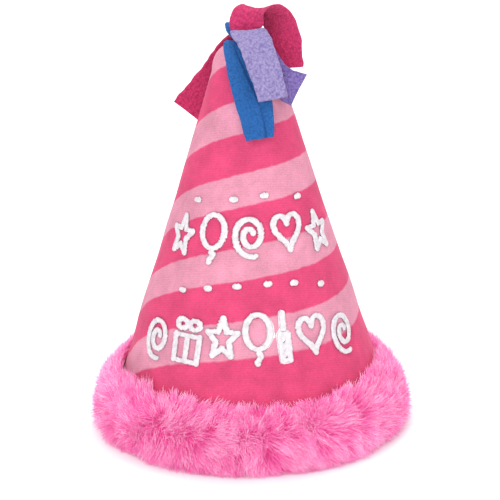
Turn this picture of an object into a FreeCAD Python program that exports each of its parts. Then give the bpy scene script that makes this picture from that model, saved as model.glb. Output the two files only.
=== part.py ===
import FreeCAD, Part
import math
import os
import Sketcher

# A soft party hat, worn on the head: a striped velour cone over foam and lining,
# a fur cuff round the brim, raised thread motifs on the front and six fleece
# streamers from the tip.  Millimetres, +Z up, the brim's centre at the origin,
# the front of the hat facing -Y.

doc = FreeCAD.newDocument("party_hat")

# ---------------------------------------------------------------- sizes
sheet = doc.addObject("Spreadsheet::Sheet", "Sizes")
SIZES = [
    ("brim_radius", 103.144, "velour outer radius where the cone meets the floor plane"),
    ("apex_height", 325.06, "height at which the cone's side would come to a point"),
    ("dome_start", 253.0, "height where the cone starts to round over"),
    ("tip_top", 271.0, "height of the rim round the tip's opening"),
    ("tip_opening", 9.0, "radius of the opening that the streamers come out of"),
    ("brim_edge", 7.0, "height of the velour's lower edge inside the cuff"),
    ("velour_wall", 1.6, "velour, measured level through the wall"),
    ("patch_room", 0.4, "room left between velour and foam for the stabiliser"),
    ("foam_wall", 4.2, "foam interlining, measured level"),
    ("lining_roof", 248.0, "height at which the lining is gathered shut"),
    ("lining_wall", 0.8, "lining, measured level"),
    ("layer_gap", 0.1, "gap between neighbouring layers"),
    ("lining_hole", 1.5, "radius left where the lining is gathered shut"),
    ("seam_width", 1.0, "width of the back seam's groove"),
    ("seam_thread", 0.36, "radius of the back seam's thread"),
    ("head_radius", 85.0, "inner radius of the sweatband"),
    ("sweatband_wall", 1.2, "thickness of the sweatband"),
    ("sweatband_top", 28.0, "height of the sweatband's upper edge"),
    ("ring_thread", 0.28, "radius of the stitching threads that run right round"),
    ("facing_wall", 1.0, "thickness of the felt ring that closes the brim"),
    ("cuff_top", 40.0, "height of the cuff backing's upper edge"),
    ("backing_wall", 1.0, "thickness of the cuff's knitted backing"),
    ("filling_wall", 3.0, "thickness of the cuff's soft filling"),
    ("pile_out", 8.76, "how far the pile stands out past the brim radius"),
    ("pile_top", 46.0, "height of the pile's rounded top"),
    ("pile_foot", 8.0, "how far the pile's flat foot reaches in from the brim radius"),
    ("motif_lift", 0.8, "how far the embroidery stands up off the velour"),
    ("upper_height", 33.0, "height of an upper-row motif"),
    ("lower_height", 34.0, "height of a lower-row motif"),
    ("patch_low", 51.0, "lower edge of the stabiliser behind the embroidery"),
    ("patch_high", 189.0, "upper edge of the stabiliser"),
    ("patch_angle", 160.0, "angle round the cone that the stabiliser covers"),
    ("fleece", 1.8, "thickness of the streamer fleece"),
    ("strip_width", 22.0, "cut width of a streamer at its free end"),
    ("fold_gap", 1.4, "clearance at the fold between a root and its free end"),
    ("root_depth", 12.0, "length of streamer root caught inside the tip"),
    ("root_width", 7.0, "width of a streamer root where it is bound"),
    ("binding_thread", 0.6, "radius of the cord that binds the roots"),
]
for row, (alias, value, note) in enumerate(SIZES, start=1):
    sheet.set("A%d" % row, note)
    sheet.set("B%d" % row, str(value))
    sheet.setAlias("B%d" % row, alias)
doc.recompute()


class Size:
    """A length known both as a number and as the sheet formula that gives it."""

    def __init__(self, text, value):
        self.text = text
        self.value = value

    def __add__(self, other):
        other = as_size(other)
        return Size("(%s + %s)" % (self.text, other.text), self.value + other.value)

    def __sub__(self, other):
        other = as_size(other)
        return Size("(%s - %s)" % (self.text, other.text), self.value - other.value)

    def __mul__(self, other):
        other = as_size(other)
        return Size("(%s * %s)" % (self.text, other.text), self.value * other.value)

    def __truediv__(self, other):
        other = as_size(other)
        return Size("(%s / %s)" % (self.text, other.text), self.value / other.value)


def as_size(thing):
    """Plain numbers become fixed lengths; sizes stay as they are."""
    if isinstance(thing, Size):
        return thing
    return Size("%.6f" % thing, float(thing))


def size(alias):
    return Size("Sizes." + alias, float(sheet.get(alias)))


brim_radius = size("brim_radius")
apex_height = size("apex_height")
velour_wall = size("velour_wall")
layer_gap = size("layer_gap")
brim_edge = size("brim_edge")
fleece = size("fleece")


def cone(height, outward=0.0):
    """Velour outer radius at a height, moved level outward by a given amount."""
    height = as_size(height)
    return brim_radius - brim_radius * height / apex_height + outward


# ---------------------------------------------------------------- helpers
def draw(sketch, loops):
    """Closed outlines of straight edges; every corner is pinned by two formulas."""
    count = 0
    for loop in loops:
        first = count
        total = len(loop)
        for i in range(total):
            x0, y0 = loop[i]
            x1, y1 = loop[(i + 1) % total]
            start = FreeCAD.Vector(x0.value, y0.value, 0)
            end = FreeCAD.Vector(x1.value, y1.value, 0)
            sketch.addGeometry(Part.LineSegment(start, end), False)
            count += 1
        for i in range(total):
            after = first + (i + 1) % total
            sketch.addConstraint(Sketcher.Constraint("Coincident", first + i, 2, after, 1))
        for i in range(total):
            for axis, coordinate in (("DistanceX", loop[i][0]), ("DistanceY", loop[i][1])):
                number = sketch.addConstraint(
                    Sketcher.Constraint(axis, -1, 1, first + i, 1, coordinate.value))
                sketch.setExpression("Constraints[%d]" % number, coordinate.text)


def turned(name, outline, angle=360.0):
    """A body turned about the hat's axis from an outline of (radius, height)."""
    body = doc.addObject("PartDesign::Body", name)
    sketch = body.newObject("Sketcher::SketchObject", name + "_outline")
    plane = [f for f in body.Origin.OriginFeatures if f.Role == "XZ_Plane"][0]
    sketch.AttachmentSupport = [(plane, "")]
    sketch.MapMode = "FlatFace"
    draw(sketch, [outline])
    turn = body.newObject("PartDesign::Revolution", name + "_turn")
    turn.Profile = sketch
    turn.ReferenceAxis = (sketch, ["V_Axis"])
    if isinstance(angle, Size):
        turn.Angle = angle.value
        turn.setExpression("Angle", angle.text)
        turn.Midplane = True
    body.Tip = turn
    sketch.Visibility = False
    return body


def thread_ring(name, radius, height, thickness):
    """A round thread that runs right round the hat."""
    ring = doc.addObject("Part::Torus", name)
    ring.setExpression("Radius1", radius.text)
    ring.setExpression("Radius2", thickness.text)
    ring.setExpression("Placement.Base.z", height.text)
    return ring


def leaning_thread(name, low, high, inset, thickness):
    """A straight thread that climbs the back of the cone inside the wall."""
    rod = doc.addObject("Part::Cylinder", name)
    rise = high - low
    lean = math.degrees(math.atan2(brim_radius.value, apex_height.value))
    rod.setExpression("Radius", thickness.text)
    rod.setExpression("Height", (rise * math.hypot(1.0, brim_radius.value / apex_height.value)).text)
    foot = FreeCAD.Vector(0, (cone(low, as_size(0) - inset)).value, low.value)
    rod.Placement = FreeCAD.Placement(foot, FreeCAD.Rotation(FreeCAD.Vector(1, 0, 0), lean))
    rod.setExpression("Placement.Base.y", cone(low, as_size(0) - inset).text)
    rod.setExpression("Placement.Base.z", low.text)
    return rod


nodes = []


def finish(name, thing):
    """The node's label is its file name."""
    thing.Label = name
    nodes.append((name, thing))
    return thing


# ---------------------------------------------------------------- the cone
# The velour is one flat sector rolled up, with a single seam at the back.  Its top
# is eased over into a small dome that ends in the streamers' opening.
dome_start = size("dome_start")
tip_top = size("tip_top")
tip_opening = size("tip_opening")
DOME_STEPS = [0.3, 0.55, 0.75, 0.9, 1.0]


def dome(step, wall):
    """A point on the rounded tip: step runs from 0 at the cone to 1 at the opening."""
    reach = math.sqrt(max(0.0, 1.0 - step * step))
    radius = tip_opening + (cone(dome_start) - tip_opening) * reach
    height = dome_start + (tip_top - dome_start) * step
    if step < 1.0:
        radius = radius - wall
    return (radius, height - wall * step)


outside = [(cone(brim_edge), brim_edge), (cone(dome_start), dome_start)]
outside += [dome(step, as_size(0)) for step in DOME_STEPS]
inside = [dome(step, velour_wall) for step in reversed(DOME_STEPS)]
inside += [(cone(dome_start) - velour_wall, dome_start), (cone(brim_edge) - velour_wall, brim_edge)]
velour_shell = turned("velour_shell", outside + inside)

seam_width = size("seam_width")
groove = doc.addObject("Part::Box", "seam_groove")
groove.setExpression("Length", seam_width.text)
groove.setExpression("Width", (brim_radius * 1.2).text)
groove.setExpression("Height", (dome_start - brim_edge).text)
groove.setExpression("Placement.Base.x", (seam_width * -0.5).text)
groove.setExpression("Placement.Base.z", (brim_edge - 1.0).text)
velour = doc.addObject("Part::Cut", "velour_panel")
velour.Base = velour_shell
velour.Tool = groove
finish("velour_panel", velour)

finish("back_seam_thread", leaning_thread(
    "back_seam_thread", brim_edge + 3.0, dome_start - 8.0, velour_wall * 0.5, size("seam_thread")))

# Foam keeps the cone standing and follows the velour some way over the dome.
foam_foot = brim_edge + 1.5
foam_depth = velour_wall + size("patch_room")
foam_outer = as_size(0) - foam_depth
foam_inner = foam_outer - size("foam_wall")
FOAM_STEPS = [0.3, 0.55]
foam_outside = [(cone(foam_foot, foam_outer), foam_foot), (cone(dome_start, foam_outer), dome_start)]
foam_outside += [dome(step, foam_depth) for step in FOAM_STEPS]
foam_inside = [dome(step, foam_depth + size("foam_wall")) for step in reversed(FOAM_STEPS)]
foam_inside += [(cone(dome_start, foam_inner), dome_start), (cone(foam_foot, foam_inner), foam_foot)]
foam = turned("foam_interlining", foam_outside + foam_inside)
finish("foam_interlining", foam)

# The lining follows the foam and is gathered shut under the tip.
lining_wall = size("lining_wall")
lining_outer = foam_inner - layer_gap
lining_inner = lining_outer - lining_wall
lining_roof = size("lining_roof")
lining = turned("lining_panel", [
    (cone(foam_foot, lining_outer), foam_foot),
    (cone(lining_roof, lining_outer), lining_roof),
    (size("lining_hole"), lining_roof + 1.5),
    (size("lining_hole"), lining_roof + 1.5 - lining_wall),
    (cone(lining_roof, lining_inner), lining_roof - lining_wall),
    (cone(foam_foot, lining_inner), foam_foot)])
finish("lining_panel", lining)

# ---------------------------------------------------------------- the brim
head_radius = size("head_radius")
sweatband_wall = size("sweatband_wall")
sweatband_top = size("sweatband_top")
sweatband_outer = head_radius + sweatband_wall
sweatband = turned("sweatband", [
    (head_radius, brim_edge),
    (sweatband_outer, brim_edge),
    (sweatband_outer, sweatband_top),
    (head_radius, sweatband_top)])
finish("sweatband", sweatband)

ring_thread = size("ring_thread")
finish("sweatband_thread", thread_ring(
    "sweatband_thread", sweatband_outer + ring_thread + 0.06, sweatband_top - 1.2, ring_thread))

facing_top = brim_edge - layer_gap
facing_low = facing_top - size("facing_wall")
facing = turned("brim_facing", [
    (head_radius + 0.3, facing_low),
    (cone(brim_edge) - 0.2, facing_low),
    (cone(brim_edge) - 0.2, facing_top),
    (head_radius + 0.3, facing_top)])
finish("brim_facing", facing)

# ---------------------------------------------------------------- the cuff
cuff_top = size("cuff_top")
backing_wall = size("backing_wall")
backing_outer = layer_gap + backing_wall
backing = turned("cuff_backing", [
    (cone(brim_edge, layer_gap), brim_edge),
    (cone(brim_edge, backing_outer), brim_edge),
    (cone(cuff_top, backing_outer), cuff_top),
    (cone(cuff_top, layer_gap), cuff_top)])
finish("cuff_backing", backing)

filling_inner = backing_outer + layer_gap
filling_outer = filling_inner + size("filling_wall")
filling_low = brim_edge + 4.0
filling_high = cuff_top - 4.0
filling = turned("cuff_filling", [
    (cone(filling_low, filling_inner), filling_low),
    (cone(filling_low + 2.0, filling_outer), filling_low + 2.0),
    (cone(filling_high - 3.0, filling_outer), filling_high - 3.0),
    (cone(filling_high, filling_inner), filling_high)])
finish("cuff_filling", filling)

finish("cuff_thread", thread_ring(
    "cuff_thread", cone(cuff_top + 0.5, backing_wall * 0.5 + 0.2), cuff_top + 0.5, ring_thread))

# The pile is one thick ring: it hides the filling, closes over the top edge and
# turns under the brim, where its flat foot is what the hat stands on.
pile_out = size("pile_out")
pile_top = size("pile_top")
pile_foot = size("pile_foot")
PILE_CURVE = [(0.26, 0.0), (0.69, 0.07), (0.93, 0.22), (1.0, 0.4), (0.9, 0.62),
              (0.47, 0.82), (-0.21, 0.95), (-0.9, 1.0)]
pile_outline = [(brim_radius - pile_foot, facing_low - layer_gap), (brim_radius - pile_foot, as_size(0.001))]
for reach, rise in PILE_CURVE:
    pile_outline.append((brim_radius + pile_out * reach, pile_top * rise + 0.001))
pocket_top = cuff_top + 1.4
pile_outline += [
    (cone(pile_top - 2.0, layer_gap), pile_top - 2.0),
    (cone(pocket_top, layer_gap), pocket_top),
    (cone(pocket_top, filling_inner), pocket_top),
    (cone(filling_high + 0.4, filling_inner), filling_high + 0.4),
    (cone(filling_high - 2.9, filling_outer + layer_gap), filling_high - 2.9),
    (cone(filling_low + 1.9, filling_outer + layer_gap), filling_low + 1.9),
    (cone(filling_low - 0.4, filling_inner), filling_low - 0.4),
    (cone(facing_low - layer_gap, filling_inner), facing_low - layer_gap)]
pile = turned("fur_pile", pile_outline)
finish("fur_pile", pile)

# ---------------------------------------------------------------- embroidery
patch_outer = as_size(0) - velour_wall - 0.07
patch_inner = patch_outer - 0.26
patch_low = size("patch_low")
patch_high = size("patch_high")
patch = turned("embroidery_stabiliser", [
    (cone(patch_low, patch_inner), patch_low),
    (cone(patch_low, patch_outer), patch_low),
    (cone(patch_high, patch_outer), patch_high),
    (cone(patch_high, patch_inner), patch_high)], size("patch_angle"))
patch.Placement = FreeCAD.Placement(
    FreeCAD.Vector(0, 0, 0), FreeCAD.Rotation(FreeCAD.Vector(0, 0, 1), -90))
finish("embroidery_stabiliser", patch)

# Every motif is a flat outline pushed out through a thin layer on the velour.
motif_lift = size("motif_lift")
layer_low = patch_low - 10.0
layer_high = patch_high + 10.0
thread_layer = turned("thread_layer", [
    (cone(layer_low, 0.06), layer_low),
    (cone(layer_low, motif_lift), layer_low),
    (cone(layer_high, motif_lift), layer_high),
    (cone(layer_high, 0.06), layer_high)])


SLIM = 0.8


def around(points, centre, slim=1.0):
    """Points about nought, slimmed sideways and moved to a centre in the unit square."""
    return [(centre[0] + x * slim, centre[1] + y) for x, y in points]


def circle(steps, radius_x, radius_y):
    return [(radius_x * math.cos(2 * math.pi * i / steps),
             radius_y * math.sin(2 * math.pi * i / steps)) for i in range(steps)]


def star_points(outer, inner):
    points = []
    for i in range(10):
        radius = outer if i % 2 == 0 else inner
        angle = math.pi / 2 + math.pi * i / 5
        points.append((radius * math.cos(angle), radius * math.sin(angle)))
    return points


def heart_points(scale):
    points = []
    for i in range(24):
        t = 2 * math.pi * (i + 0.5) / 24
        x = 16 * math.sin(t) ** 3
        y = 13 * math.cos(t) - 5 * math.cos(2 * t) - 2 * math.cos(3 * t) - math.cos(4 * t)
        points.append((scale * x / 34, scale * (y + 2.5) / 34))
    return points


def spiral_points(turns, stroke):
    """A band that winds outward, drawn out along one edge and back along the other."""
    steps = 26
    outer = []
    inner = []
    for i in range(steps + 1):
        t = i / steps
        angle = 2 * math.pi * turns * t + 0.6
        radius = 0.09 + 0.33 * t
        for edge, offset in ((outer, stroke / 2), (inner, -stroke / 2)):
            edge.append(((radius + offset) * math.cos(angle), (radius + offset) * math.sin(angle)))
    return outer + list(reversed(inner))


MIDDLE = (0.5, 0.5)
STROKE = 0.11
STAR = [around(star_points(0.5, 0.24), MIDDLE, SLIM), around(star_points(0.26, 0.1), MIDDLE, SLIM)]
HEART = [around(heart_points(0.98), MIDDLE, SLIM), around(heart_points(0.6), (0.5, 0.515), SLIM)]
SPIRAL = [around(spiral_points(1.7, STROKE), MIDDLE, 0.84)]
BALLOON = [
    around(circle(24, 0.31, 0.39), (0.5, 0.61)),
    around(circle(24, 0.19, 0.26), (0.5, 0.61))]
STRING = [[(0.45, 0.0), (0.57, 0.0), (0.55, 0.21), (0.47, 0.21)]]
GIFT = [
    [(0.16, 0.02), (0.84, 0.02), (0.84, 0.62), (0.16, 0.62)],
    [(0.27, 0.13), (0.445, 0.13), (0.445, 0.51), (0.27, 0.51)],
    [(0.555, 0.13), (0.73, 0.13), (0.73, 0.51), (0.555, 0.51)]]
CANDLE = [[(0.38, 0.0), (0.62, 0.0), (0.62, 0.58), (0.38, 0.58)]]
BOW = [[(0.5, 0.65), (0.72, 0.96), (0.84, 0.7)], [(0.5, 0.65), (0.28, 0.96), (0.16, 0.7)]]
FLAME = [[(0.5, 0.64), (0.62, 0.76), (0.5, 1.0), (0.38, 0.76)]]
DOT = [around(circle(12, 0.075, 0.075), MIDDLE)]


def motif(name, loop_groups, azimuth, centre_height, height):
    """Push outlines outward at an angle round the cone and keep the thin layer."""
    pieces = []
    turn = math.radians(azimuth)
    tangent = FreeCAD.Vector(math.cos(turn), math.sin(turn), 0)
    outward = FreeCAD.Vector(math.sin(turn), -math.cos(turn), 0)
    up = FreeCAD.Vector(0, 0, 1)
    for number, loops in enumerate(loop_groups):
        sketch = doc.addObject("Sketcher::SketchObject", "%s_outline_%d" % (name, number))
        draw(sketch, [[(height * x, height * y) for x, y in loop] for loop in loops])
        corner = tangent * (-0.5 * height.value) + outward * 25 + up * (centre_height - 0.5 * height.value)
        sketch.Placement = FreeCAD.Placement(corner, FreeCAD.Rotation(tangent, up, outward, "ZXY"))
        block = doc.addObject("Part::Extrusion", "%s_block_%d" % (name, number))
        block.Base = sketch
        block.DirMode = "Normal"
        block.LengthFwd = brim_radius.value
        block.setExpression("LengthFwd", brim_radius.text)
        block.Solid = True
        cut = doc.addObject("Part::Common", "%s_piece_%d" % (name, number))
        cut.Base = block
        cut.Tool = thread_layer
        pieces.append(cut)
    if len(pieces) == 1:
        return pieces[0]
    joined = doc.addObject("Part::MultiFuse", name)
    joined.Shapes = pieces
    return joined


upper_height = size("upper_height")
lower_height = size("lower_height")
UPPER_ROW = [
    ("motif_star_upper_left", [STAR], -53.0, 147),
    ("motif_balloon_upper", [BALLOON, STRING], -25.5, 150),
    ("motif_spiral_upper", [SPIRAL], 1.6, 152),
    ("motif_heart_upper", [HEART], 29.5, 151.5),
    ("motif_star_upper_right", [STAR], 57.0, 147),
]
LOWER_ROW = [
    ("motif_spiral_lower_left", [SPIRAL], -54.0, 78),
    ("motif_gift_lower", [GIFT, BOW[:1], BOW[1:]], -33.5, 82.5),
    ("motif_star_lower", [STAR], -14.0, 85.5),
    ("motif_balloon_lower", [BALLOON, STRING], 4.2, 86.5),
    ("motif_candle_lower", [CANDLE, FLAME], 18.0, 86),
    ("motif_heart_lower", [HEART], 34.0, 83.5),
    ("motif_spiral_lower_right", [SPIRAL], 55.0, 79),
]
for name, groups, azimuth, centre in UPPER_ROW:
    finish(name, motif(name, groups, azimuth, centre, upper_height))
for name, groups, azimuth, centre in LOWER_ROW:
    finish(name, motif(name, groups, azimuth, centre, lower_height))

DOTS = [(-44.0, 172), (-11.0, 175), (14.0, 177), (44.0, 173), (-42.0, 113),
        (-24.5, 117), (-7.0, 119.5), (11.5, 120.5), (28.0, 119), (47.0, 114)]
dots = doc.addObject("Part::MultiFuse", "motif_dots")
dots.Shapes = [motif("motif_dot_%02d" % i, [DOT], azimuth, centre, lower_height)
               for i, (azimuth, centre) in enumerate(DOTS)]
finish("motif_dots", dots)

# ---------------------------------------------------------------- streamers
# Each streamer is a fleece strip whose narrow root is bound inside the tip.  The
# root climbs to a fold; past the fold the free end hangs.  A station is the middle
# of the strip (x, y, z), the heading and tilt of its width in degrees, and its
# width as a share of the cut width.
STREAMERS = [
    ("blue_front", 2, [
        (-2, -5.9, 272, 0, 0, 0.32), (-4.5, -8.4, 274.2, 2, 0, 0.5), (-6, -14, 273.6, 4, -6, 0.73),
        (-3.6, -22.5, 266, 8, -12, 0.92), (1.4, -29.5, 252, 8, -16, 1.12),
        (6.6, -36, 235, 8, -17, 1.16), (9.5, -41, 215, 8, -17, 0.88)]),
    ("purple_right", 2, [
        (-1, -3.5, 272, 0, 0, 0.32), (1.5, -6, 276.6, 6, 2, 0.36), (7.5, -10.4, 276.4, 20, 10, 0.41),
        (14, -15.5, 270.5, 30, 22, 0.5), (18.5, -20, 259.5, 32, 44, 0.73),
        (25.5, -21.5, 249, 25, 64, 0.95), (36, -19.5, 243, 8, 76, 1.09)]),
    ("purple_front", 2, [
        (-1, -1.15, 272, 0, 0, 0.32), (-0.5, -3.2, 278.3, 0, 0, 0.68), (2, -9, 281, 4, 2, 1.05),
        (6.5, -17.5, 277, 14, 6, 1.07), (10.5, -26, 267, 20, 9, 1.05),
        (14.5, -32.5, 255.5, 23, 12, 1.0), (18.5, -39.5, 241.5, 26, 14, 1.0)]),
    ("pink_arch", 3, [
        (-1, 1.15, 272, 0, 0, 0.32), (-0.5, 1.6, 279, 0, 0, 0.77), (1.5, 3, 286, -6, 5, 1.05),
        (7.5, 6.5, 292.5, -16, 8, 1.09), (17.5, 11, 291.5, -24, 6, 1.12),
        (24.5, 15, 280.5, -20, 2, 1.12), (28, 17.5, 266, -14, 0, 1.08), (29.5, 19, 250, -12, 0, 1.0)]),
    ("blue_back", 2, [
        (-2, 3.5, 272, 0, 0, 0.32), (-3.5, 6.5, 277.5, 0, 0, 0.64), (-4, 12.5, 281.5, 0, 0, 0.82),
        (-2.5, 20.5, 281, 4, 0, 0.86), (1.5, 27.5, 274, 8, 0, 0.91),
        (5.5, 32, 262, 10, 0, 0.95), (8.5, 35, 247, 10, 0, 0.95), (10, 37, 231, 10, 0, 0.95)]),
    ("pink_left", 2, [
        (-2, 5.9, 272, 0, 0, 0.32), (-3.2, 9.7, 274.3, 8, -4, 0.45), (-6, 15.5, 272, 30, -16, 0.68),
        (-11.5, 21.5, 262.5, 26, -32, 0.84), (-19.5, 25, 248, 14, -42, 0.93),
        (-29.5, 26.5, 233.5, 4, -47, 0.98), (-41.5, 26, 219, 0, -49, 1.0)]),
]
BLEND_STEPS = 3
strip_width = size("strip_width").value
fold_gap = size("fold_gap").value
thickness = fleece.value


def smooth(stations, place):
    """A Catmull-Rom value between whole stations."""
    last = len(stations) - 1
    i = min(int(place), last - 1)
    t = place - i
    p0 = stations[max(i - 1, 0)]
    p1 = stations[i]
    p2 = stations[i + 1]
    p3 = stations[min(i + 2, last)]
    value = []
    for a, b, c, d in zip(p0, p1, p2, p3):
        value.append(0.5 * (2 * b + (c - a) * t + (2 * a - 5 * b + 4 * c - d) * t * t
                            + (3 * b - a - 3 * c + d) * t * t * t))
    return value


def middle(stations, place):
    return FreeCAD.Vector(*smooth(stations, place)[:3])


def section(stations, place):
    """A thin closed rectangle across the strip."""
    x, y, z, heading, tilt, share = smooth(stations, place)
    heading = math.radians(heading)
    tilt = math.radians(tilt)
    across = FreeCAD.Vector(math.cos(heading) * math.cos(tilt), math.sin(heading) * math.cos(tilt), math.sin(tilt))
    ahead = middle(stations, min(place + 0.05, len(stations) - 1)) - middle(stations, max(place - 0.05, 0))
    if place < 0.05:
        ahead = FreeCAD.Vector(0, 0, 1)
    ahead.normalize()
    normal = ahead.cross(across)
    normal.normalize()
    across = normal.cross(ahead)
    centre = FreeCAD.Vector(x, y, z)
    half = across * (0.5 * share * strip_width)
    skin = normal * (0.5 * thickness)
    corners = [centre - half - skin, centre + half - skin, centre + half + skin, centre - half + skin]
    return Part.makePolygon(corners + corners[:1])


def strip(name, stations, start, end, tail_first):
    """A ruled solid through the strip's sections between two places along it."""
    steps = max(2, int(round((end - start) * BLEND_STEPS)))
    wires = [section(stations, start + (end - start) * i / steps) for i in range(steps + 1)]
    if tail_first:
        wires = [tail_first] + wires
    piece = doc.addObject("Part::Feature", name)
    piece.Shape = Part.makeLoft(wires, True, True)
    return piece


for name, fold, stations in STREAMERS:
    around_fold = (middle(stations, fold + 0.1) - middle(stations, fold - 0.1)).Length / 0.2
    half_gap = 0.5 * fold_gap / around_fold
    x, y, z = stations[0][:3]
    half_root = 0.5 * size("root_width").value
    deep = z - size("root_depth").value
    corners = [(x - half_root, y - thickness / 2), (x + half_root, y - thickness / 2),
               (x + half_root, y + thickness / 2), (x - half_root, y + thickness / 2)]
    inner_end = Part.makePolygon([FreeCAD.Vector(cx, cy, deep) for cx, cy in corners + corners[:1]])
    finish("streamer_" + name + "_root", strip(
        "streamer_" + name + "_root", stations, 0, fold - half_gap, inner_end))
    finish("streamer_" + name + "_end", strip(
        "streamer_" + name + "_end", stations, fold + half_gap, len(stations) - 1, None))

# The roots are bound together by a few turns of cord just inside the opening.
binding_thread = size("binding_thread")
finish("root_binding", thread_ring(
    "root_binding", tip_opening - 0.15 + binding_thread, tip_top - 7.0, binding_thread))

# ---------------------------------------------------------------- write out
doc.recompute()
problems = []
for thing in doc.Objects:
    if "Invalid" in thing.State or "Error" in thing.State:
        problems.append("%s: %s" % (thing.Name, thing.State))
for name, thing in nodes:
    if thing.Shape.isNull() or not thing.Shape.isValid():
        problems.append("%s: bad shape" % name)
if problems:
    raise RuntimeError("; ".join(problems))

os.makedirs("parts", exist_ok=True)
for name, thing in nodes:
    thing.Shape.exportStep("parts/%s.step" % name)
    box = thing.Shape.BoundBox
    print("%-30s solids %2d  volume %10.1f  z %.2f to %.2f" % (
        name, len(thing.Shape.Solids), thing.Shape.Volume, box.ZMin, box.ZMax))
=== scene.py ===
import bpy
import math
import numpy as np
from mathutils import Matrix, Vector


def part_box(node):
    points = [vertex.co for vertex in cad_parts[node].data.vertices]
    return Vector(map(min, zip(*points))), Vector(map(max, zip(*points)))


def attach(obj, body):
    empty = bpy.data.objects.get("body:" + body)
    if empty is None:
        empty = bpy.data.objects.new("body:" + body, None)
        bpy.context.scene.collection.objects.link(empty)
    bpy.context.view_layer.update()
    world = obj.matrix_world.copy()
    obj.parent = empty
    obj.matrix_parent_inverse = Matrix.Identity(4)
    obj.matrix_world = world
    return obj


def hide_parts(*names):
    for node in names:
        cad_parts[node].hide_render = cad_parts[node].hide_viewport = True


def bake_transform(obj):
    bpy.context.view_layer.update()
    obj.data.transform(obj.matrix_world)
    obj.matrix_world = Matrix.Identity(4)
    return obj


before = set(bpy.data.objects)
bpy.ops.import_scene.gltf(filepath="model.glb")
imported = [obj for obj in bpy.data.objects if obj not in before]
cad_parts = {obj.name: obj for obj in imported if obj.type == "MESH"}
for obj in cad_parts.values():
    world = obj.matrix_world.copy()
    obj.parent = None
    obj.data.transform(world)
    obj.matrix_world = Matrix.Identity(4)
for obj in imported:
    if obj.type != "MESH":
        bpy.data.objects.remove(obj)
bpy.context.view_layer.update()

# ------------------------------------------------------------------ velour cone
# One sector of short-pile velour, rolled into a cone and closed by a seam at the
# back.  Two pinks run across the flat panel in straight bands, so they climb to
# the right on the front, and the panel's edge is eased over a small rounded tip.
mm = 0.001
brim_radius = 103.144 * mm
apex_height = 325.06 * mm
dome_start = 253 * mm
tip_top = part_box("velour_panel")[1].z
brim_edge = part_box("velour_panel")[0].z
tip_opening = 9 * mm
velour_wall = 1.6 * mm
cone_slope = brim_radius / apex_height
cone_half_angle = math.atan(cone_slope)


def cone_radius(height):
    """The velour's outer radius at a height, before it sags or puckers."""
    return brim_radius - cone_slope * height


def drift(points, size, seed):
    """Smooth wandering values, about -1 to 1, that change over the given size."""
    rng = np.random.default_rng(seed)
    waves = rng.normal(size=(16, 3)) * (2.2 / size)
    phase = rng.random(16) * 2 * math.pi
    return np.sin(points @ waves.T + phase).sum(1) / 4.0


def make_piece(name, points, faces, body, material):
    """A mesh object from arrays, riding on a body and wearing a material."""
    points = np.asarray(points, np.float32)
    faces = np.asarray(faces, np.int32)
    mesh = bpy.data.meshes.new(name)
    mesh.vertices.add(len(points))
    mesh.vertices.foreach_set("co", points.ravel())
    mesh.loops.add(faces.size)
    mesh.loops.foreach_set("vertex_index", faces.ravel())
    mesh.polygons.add(len(faces))
    mesh.polygons.foreach_set("loop_start", np.arange(0, faces.size, faces.shape[1], dtype=np.int32))
    mesh.polygons.foreach_set("use_smooth", np.full(len(faces), True))
    mesh.update(calc_edges=True)
    mesh.materials.append(material)
    piece = bpy.data.objects.new(name, mesh)
    bpy.context.scene.collection.objects.link(piece)
    if body:
        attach(piece, body)
    return piece


def ring_faces(rows, columns):
    """Faces of a grid that closes on itself both ways, like a ring with a wall."""
    i = np.arange(rows)[:, None]
    j = np.arange(columns)[None, :]
    below = i * columns
    above = ((i + 1) % rows) * columns
    right = (j + 1) % columns
    return np.stack([below + j, below + right, above + right, above + j], -1).reshape(-1, 4)


def around(angle, radius, height):
    """Points on rings about the hat's axis; angle 0 is the front, growing to the right."""
    return np.stack([radius * np.sin(angle), -radius * np.cos(angle), height + 0 * angle], -1)


def swept(angles, radii, heights):
    """Angle, radius and height at every point of an outline swept round the hat's axis."""
    angle_grid, radius_grid = np.meshgrid(angles, radii)
    return angle_grid, radius_grid, np.repeat(heights[:, None], len(angles), 1)


def linear(code):
    """An sRGB hex colour as linear red, green, blue and alpha."""
    values = [int(code[i:i + 2], 16) / 255 for i in (1, 3, 5)]
    return tuple(v / 12.92 if v <= 0.04045 else ((v + 0.055) / 1.055) ** 2.4 for v in values) + (1.0,)


def add(tree, kind, settings=(), **links):
    """One node: settings are its properties or numbered inputs, links feed its inputs."""
    node = tree.nodes.new(kind)
    for key, value in dict(settings).items():
        if isinstance(key, int) or key in node.inputs:
            node.inputs[key].default_value = value
        else:
            setattr(node, key, value)
    for key, source in links.items():
        number = int(key[2:]) if key.startswith("in") and key[2:].isdigit() else key.replace("_", " ")
        tree.links.new(source, node.inputs[number])
    return node


def new_material(name, colour, roughness, sheen=0.0, sheen_tint="#FFFFFF", sheen_roughness=0.4, ior=1.5):
    """A cloth or thread: the shader's even values are set here, patterns are linked later."""
    material = bpy.data.materials.new(name)
    material.use_nodes = True
    shader = material.node_tree.nodes["Principled BSDF"]
    shader.inputs["Base Color"].default_value = linear(colour)
    shader.inputs["Roughness"].default_value = roughness
    shader.inputs["IOR"].default_value = ior
    shader.inputs["Sheen Weight"].default_value = sheen
    shader.inputs["Sheen Roughness"].default_value = sheen_roughness
    shader.inputs["Sheen Tint"].default_value = linear(sheen_tint)
    return material, material.node_tree, shader


# Velour, a cut knitted pile about 1 mm deep: matt, with a pale sheen at grazing
# angles and a soft mottle where the pile has been brushed one way or the other.
velour, tree, shader = new_material("Velour_cut_pile", "#DB3B72", 0.92, 0.16, "#FFB9D0", 0.4)
shader.inputs["Specular IOR Level"].default_value = 0.15
# half the light band's share of one repeat of the print, and how softly the dye ends
half_light = 0.225
band_blur = 0.016
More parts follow.
